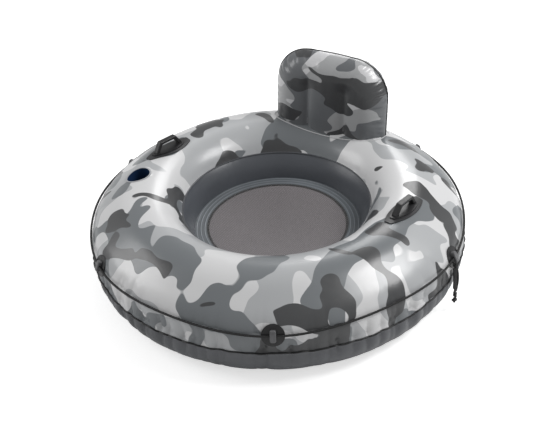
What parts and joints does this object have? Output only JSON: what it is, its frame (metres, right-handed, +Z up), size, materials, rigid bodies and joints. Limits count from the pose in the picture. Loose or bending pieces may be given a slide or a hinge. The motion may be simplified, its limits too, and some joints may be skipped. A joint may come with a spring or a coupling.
{
  "type": "river lounge tube",
  "caption": "Round inflatable lounge tube with mesh seat floor, backrest pillow, cup holder, carry handles and a grab rope around it.",
  "frame": {"origin": "on the ground under the middle of the ring", "axes": "+Z up, +Y towards the backrest, +X towards the handle on the side where the grab rope is tied"},
  "size_m": [1.3815, 1.35, 0.6134],
  "materials": {
    "camo_vinyl": null,
    "base_vinyl": "satin dark grey vinyl",
    "well_vinyl": "satin slate vinyl",
    "ring_vinyl": "satin slate vinyl with weld lines",
    "seat_mesh": "open diagonal mesh",
    "mesh_hem": "woven black binding",
    "weld_seam": "welded vinyl flange",
    "pale_weld": "clear welded edge",
    "web_vinyl": "plain vinyl",
    "cup_vinyl": "dark blue vinyl",
    "handle_base": "moulded black vinyl",
    "handle_plastic": "moulded black",
    "rope_patch": "black vinyl disc",
    "rope_lug": "moulded dark grey",
    "rope_cord": "braided polyester cord",
    "valve_plastic": "soft moulded vinyl",
    "valve_flap": "soft flap"
  },
  "bodies": {
    "tube": {"backrest_base_panel": "pale_weld", "backrest_front_panel": "camo_vinyl", "backrest_rear_panel": "camo_vinyl", "backrest_seam_flange": "weld_seam", "backrest_valve_flange": "valve_plastic", "backrest_web_left": "web_vinyl", "backrest_web_right": "web_vinyl", "bottom_panel": "base_vinyl", "cup_holder_rim": "pale_weld", "cup_holder_sleeve": "cup_vinyl", "floor_mesh": "seat_mesh", "floor_ring": "ring_vinyl", "grab_rope": "rope_cord", "inner_wall": "well_vinyl", "left_handle_base": "handle_base", "left_handle_grip": "handle_plastic", "main_valve_flange": "valve_plastic", "mesh_hem": "mesh_hem", "outer_seam_flange": "weld_seam", "right_handle_base": "handle_base", "right_handle_grip": "handle_plastic", "rim_seam_flange": "weld_seam", "rope_knot": "rope_cord", "rope_lug_front_left": "rope_lug", "rope_lug_front_right": "rope_lug", "rope_lug_left": "rope_lug", "rope_lug_rear_left": "rope_lug", "rope_lug_rear_right": "rope_lug", "rope_lug_right": "rope_lug", "rope_patch_front_left": "rope_patch", "rope_patch_front_right": "rope_patch", "rope_patch_left": "rope_patch", "rope_patch_rear_left": "rope_patch", "rope_patch_rear_right": "rope_patch", "rope_patch_right": "rope_patch", "rope_tail_long": "rope_cord", "rope_tail_loop": "rope_cord", "rope_tail_short": "rope_cord", "tail_knot_lower": "rope_cord", "tail_knot_upper": "rope_cord", "top_panel": "camo_vinyl"},
    "backrest_valve_flap": {"backrest_valve_flap": "valve_flap"},
    "backrest_valve_plug": {"backrest_valve_plug": "valve_plastic"},
    "backrest_valve_stem": {"backrest_valve_stem": "valve_plastic"},
    "main_valve_flap": {"main_valve_flap": "valve_flap"},
    "main_valve_plug": {"main_valve_plug": "valve_plastic"},
    "main_valve_stem": {"main_valve_stem": "valve_plastic"}
  },
  "joints": [
    {"name": "main_valve_stem_slide", "type": "slide", "parent": "tube", "child": "main_valve_stem", "axis": [-0.1367, 0.5484, 0.8249], "range_m": [0, 0.012]},
    {"name": "main_valve_plug_hinge", "type": "hinge", "parent": "main_valve_stem", "child": "main_valve_plug", "pos_m": [-0.12805, 0.58799, 0.28208], "axis": [-0.1996, 0.8004, -0.5652], "range_deg": [0, 150]},
    {"name": "main_valve_flap_hinge", "type": "hinge", "parent": "main_valve_stem", "child": "main_valve_flap", "pos_m": [-0.13183, 0.56637, 0.25279], "axis": [0.1996, -0.8004, 0.5652], "range_deg": [0, 50], "stiffness_Nm_per_rad": 0.002, "springref_deg": -11.46},
    {"name": "backrest_valve_stem_slide", "type": "slide", "parent": "tube", "child": "backrest_valve_stem", "axis": [0, 0.9945, -0.1045], "range_m": [0, 0.012]},
    {"name": "backrest_valve_plug_hinge", "type": "hinge", "parent": "backrest_valve_stem", "child": "backrest_valve_plug", "pos_m": [0.158, 0.54016, 0.37181], "axis": [0, -0.1045, -0.9945], "range_deg": [0, 150]},
    {"name": "backrest_valve_flap_hinge", "type": "hinge", "parent": "backrest_valve_stem", "child": "backrest_valve_flap", "pos_m": [0.1491, 0.50485, 0.37552], "axis": [0, 0.1045, 0.9945], "range_deg": [0, 50], "stiffness_Nm_per_rad": 0.002, "springref_deg": -11.46}
  ]
}
